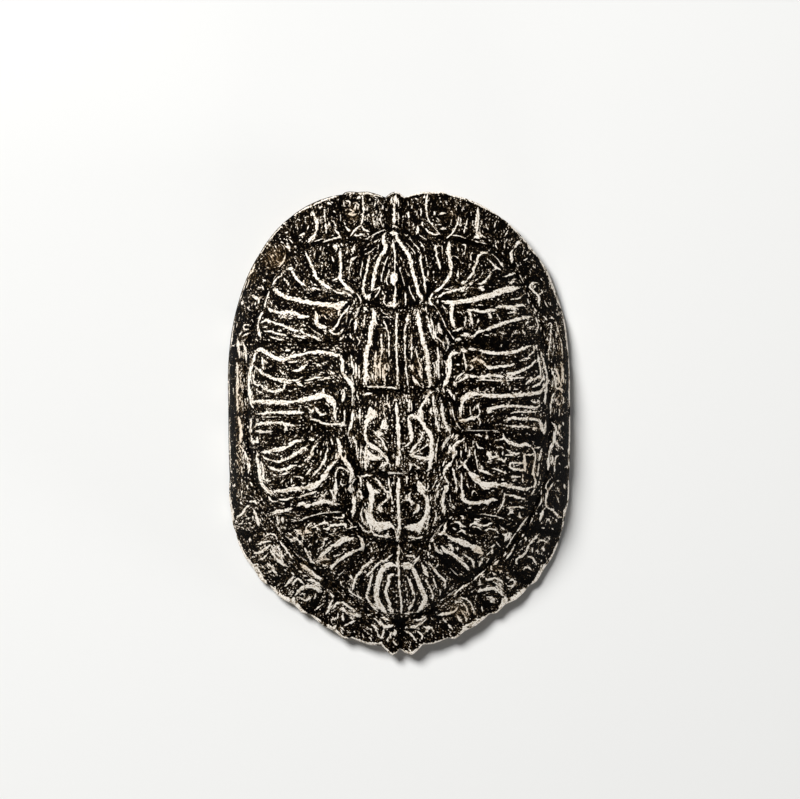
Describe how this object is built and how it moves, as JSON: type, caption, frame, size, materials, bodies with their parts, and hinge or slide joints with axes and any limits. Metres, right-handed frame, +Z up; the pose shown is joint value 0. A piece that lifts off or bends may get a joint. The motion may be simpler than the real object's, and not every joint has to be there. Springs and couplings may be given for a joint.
{
  "type": "turtle shell",
  "caption": "Domed oval turtle carapace with scute seams, a low keel and a toothed rear rim, hollow below, lying rim down.",
  "frame": {"origin": "on the surface that the shell rests on, under the middle of its length and width", "axes": "+Y to the head end, +Z up out of the dome, +X to the shell's right side seen from above with the head end away"},
  "size_m": [0.1994, 0.2698, 0.0818],
  "materials": {
    "shell": "dry horn with a low sheen, near-black with cream stripes, over pale bone below"
  },
  "bodies": {
    "root": {"carapace": "shell"}
  },
  "joints": []
}
